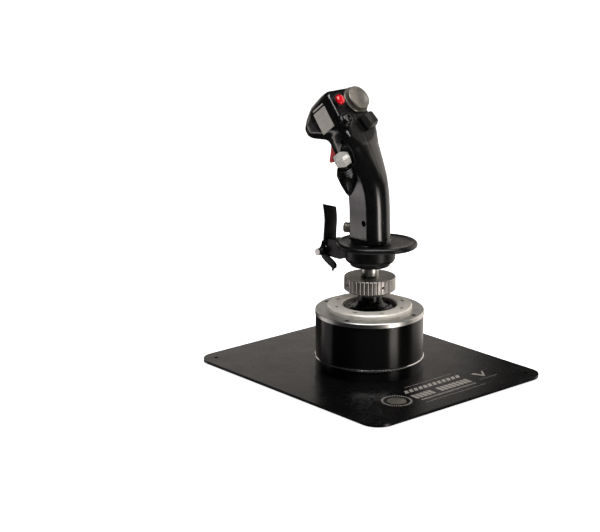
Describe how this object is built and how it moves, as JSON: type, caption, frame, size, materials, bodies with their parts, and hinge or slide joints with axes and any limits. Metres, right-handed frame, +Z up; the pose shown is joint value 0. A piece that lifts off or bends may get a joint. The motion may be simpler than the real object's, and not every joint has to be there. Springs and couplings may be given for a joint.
{
  "type": "flight joystick",
  "caption": "Flight joystick with a contoured hand grip on a sprung two-axis gimbal in a round drum base on a flat steel plate.",
  "frame": {"origin": "centre of the footprint, on the surface that the rubber feet rest on", "axes": "+Z up along the shaft, +Y forward away from the pilot, +X to the pilot's right"},
  "size_m": [0.24, 0.279, 0.2937],
  "materials": {
    "plate_black": "satin black powder coat",
    "rubber": "matt",
    "drum_black": "gloss black lacquer",
    "bright_steel": "polished",
    "flange_grey": "turned and brushed",
    "clamp_satin": "bead-blasted satin",
    "nut_steel": "turned",
    "shaft_steel": "polished",
    "screw_black": "black oxide",
    "screw_steel": "plain",
    "gimbal_cast": "as cast",
    "bronze": "plain",
    "board_green": "solder mask",
    "magnet": "plated",
    "spring_steel": "drawn wire",
    "plastic_black": "fine grain",
    "grip_black": "semi-gloss black",
    "frame_black": "satin black",
    "hat_black": "fine texture",
    "head_satin": "satin",
    "hat_grey": "warm grey satin",
    "red_gloss": "gloss red",
    "trigger_red": "satin red",
    "button_silver": "satin"
  },
  "bodies": {
    "base": {"base_plate": "plate_black", "rubber_feet": "rubber", "plate_screws": "screw_black", "lower_casting": "drum_black", "band_ring": "bright_steel", "drum_tube": "drum_black", "top_flange": "flange_grey", "flange_screws": "screw_black", "clamp_ring": "clamp_satin", "clamp_ring_screws": "screw_black", "cable_gland": "plastic_black", "gimbal_frame": "gimbal_cast", "pitch_bearings": "bronze", "spring_seat": "plastic_black", "sensor_board": "board_green", "boot_outer": "rubber"},
    "gimbal": {"gimbal_ring": "gimbal_cast", "pitch_pins": "screw_steel", "roll_bearings": "bronze"},
    "stick": {"stick_hub": "gimbal_cast", "roll_pins": "screw_steel", "shaft": "shaft_steel", "spring_cap": "plastic_black", "centring_spring": "spring_steel", "sensor_magnet": "magnet", "boot_inner": "rubber", "boot_clamp": "screw_black", "connector_socket": "plastic_black", "threaded_collar": "screw_black", "grip_collar": "frame_black", "palm_rest": "grip_black", "grip_left_shell": "grip_black", "grip_right_shell": "grip_black", "grip_screws": "screw_black", "head_plate": "head_satin", "hat_bases": "plastic_black", "trim_surround": "hat_grey", "push_collar": "plastic_black", "thumb_housing": "grip_black", "paddle_bracket": "frame_black", "paddle_pin": "screw_steel", "trigger_pin": "screw_steel"},
    "nut_slider": {"nut_bush": "screw_steel"},
    "nut": {"ring_nut": "nut_steel"},
    "trim_link": {"trim_cross": "screw_steel"},
    "trim": {"trim_cap": "hat_grey"},
    "left_hat_link": {"left_hat_cross": "screw_steel"},
    "left_hat": {"left_hat_cap": "hat_black"},
    "right_hat_link": {"right_hat_cross": "screw_steel"},
    "right_hat": {"right_hat_cap": "hat_black"},
    "thumb_slider": {"thumb_plunger": "plastic_black"},
    "thumb_link": {"thumb_cross": "screw_steel"},
    "thumb": {"thumb_cap": "button_silver"},
    "push": {"red_button": "red_gloss"},
    "side": {"side_button": "button_silver"},
    "trigger": {"trigger": "trigger_red"},
    "paddle": {"paddle_lever": "frame_black"}
  },
  "joints": [
    {"name": "stick_pitch", "type": "hinge", "parent": "base", "child": "gimbal", "pos_m": [0, 0, 0.049], "axis": [1, 0, 0], "range_deg": [-18, 18], "stiffness_Nm_per_rad": 5, "deforming": ["boot_outer", "centring_spring"]},
    {"name": "stick_roll", "type": "hinge", "parent": "gimbal", "child": "stick", "pos_m": [0, 0, 0.049], "axis": [0, 1, 0], "range_deg": [-18, 18], "stiffness_Nm_per_rad": 5, "deforming": ["boot_inner", "centring_spring"]},
    {"name": "nut_lift", "type": "slide", "parent": "stick", "child": "nut_slider", "axis": [0, 0, 1], "range_m": [0, 0.0114]},
    {"name": "nut_turn", "type": "hinge", "parent": "nut_slider", "child": "nut", "pos_m": [0, 0, 0.094], "axis": [0, 0, 1], "continuous": true},
    {"name": "trim_side", "type": "hinge", "parent": "stick", "child": "trim_link", "pos_m": [0.00842, 0.03611, 0.27789], "axis": [0.9976, 0.0698, 0], "range_deg": [-6, 6], "stiffness_Nm_per_rad": 0.15},
    {"name": "trim_up", "type": "hinge", "parent": "trim_link", "child": "trim", "pos_m": [0.00842, 0.03611, 0.27789], "axis": [-0.0429, 0.6142, 0.788], "range_deg": [-6, 6], "stiffness_Nm_per_rad": 0.15},
    {"name": "left_hat_side", "type": "hinge", "parent": "stick", "child": "left_hat_link", "pos_m": [-0.02002, 0.02129, 0.2615], "axis": [0.9976, 0.0698, 0], "range_deg": [-6, 6], "stiffness_Nm_per_rad": 0.1},
    {"name": "left_hat_up", "type": "hinge", "parent": "left_hat_link", "child": "left_hat", "pos_m": [-0.02002, 0.02129, 0.2615], "axis": [-0.0429, 0.6142, 0.788], "range_deg": [-6, 6], "stiffness_Nm_per_rad": 0.1},
    {"name": "right_hat_side", "type": "hinge", "parent": "stick", "child": "right_hat_link", "pos_m": [0.00992, 0.02036, 0.25764], "axis": [0.9976, 0.0698, 0], "range_deg": [-6, 6], "stiffness_Nm_per_rad": 0.1},
    {"name": "right_hat_up", "type": "hinge", "parent": "right_hat_link", "child": "right_hat", "pos_m": [0.00992, 0.02036, 0.25764], "axis": [-0.0429, 0.6142, 0.788], "range_deg": [-6, 6], "stiffness_Nm_per_rad": 0.1},
    {"name": "thumb_press", "type": "slide", "parent": "stick", "child": "thumb_slider", "axis": [0.4203, 0.1001, -0.9018], "range_m": [0, 0.0012], "stiffness_N_per_m": 1200},
    {"name": "thumb_side", "type": "hinge", "parent": "thumb_slider", "child": "thumb_link", "pos_m": [-0.02685, 0.01135, 0.22024], "axis": [-0.8773, -0.209, -0.4321], "range_deg": [-8, 8], "stiffness_Nm_per_rad": 0.15},
    {"name": "thumb_up", "type": "hinge", "parent": "thumb_link", "child": "thumb", "pos_m": [-0.02685, 0.01135, 0.22024], "axis": [0.2317, -0.9728, 0], "range_deg": [-8, 8], "stiffness_Nm_per_rad": 0.15},
    {"name": "red_press", "type": "slide", "parent": "stick", "child": "push", "axis": [-0.055, 0.7861, -0.6157], "range_m": [0, 0.002], "stiffness_N_per_m": 900},
    {"name": "side_press", "type": "slide", "parent": "stick", "child": "side", "axis": [0.5, -0.866, 0], "range_m": [0, 0.0024], "stiffness_N_per_m": 900},
    {"name": "trigger_pull", "type": "hinge", "parent": "stick", "child": "trigger", "pos_m": [-0.004, 0.0475, 0.247], "axis": [-1, 0, 0], "range_deg": [0, 9], "stiffness_Nm_per_rad": 1.2},
    {"name": "paddle_pull", "type": "hinge", "parent": "stick", "child": "paddle", "pos_m": [-0.004, 0.0596, 0.1188], "axis": [1, 0, 0], "range_deg": [0, 7.4], "stiffness_Nm_per_rad": 1.2}
  ]
}
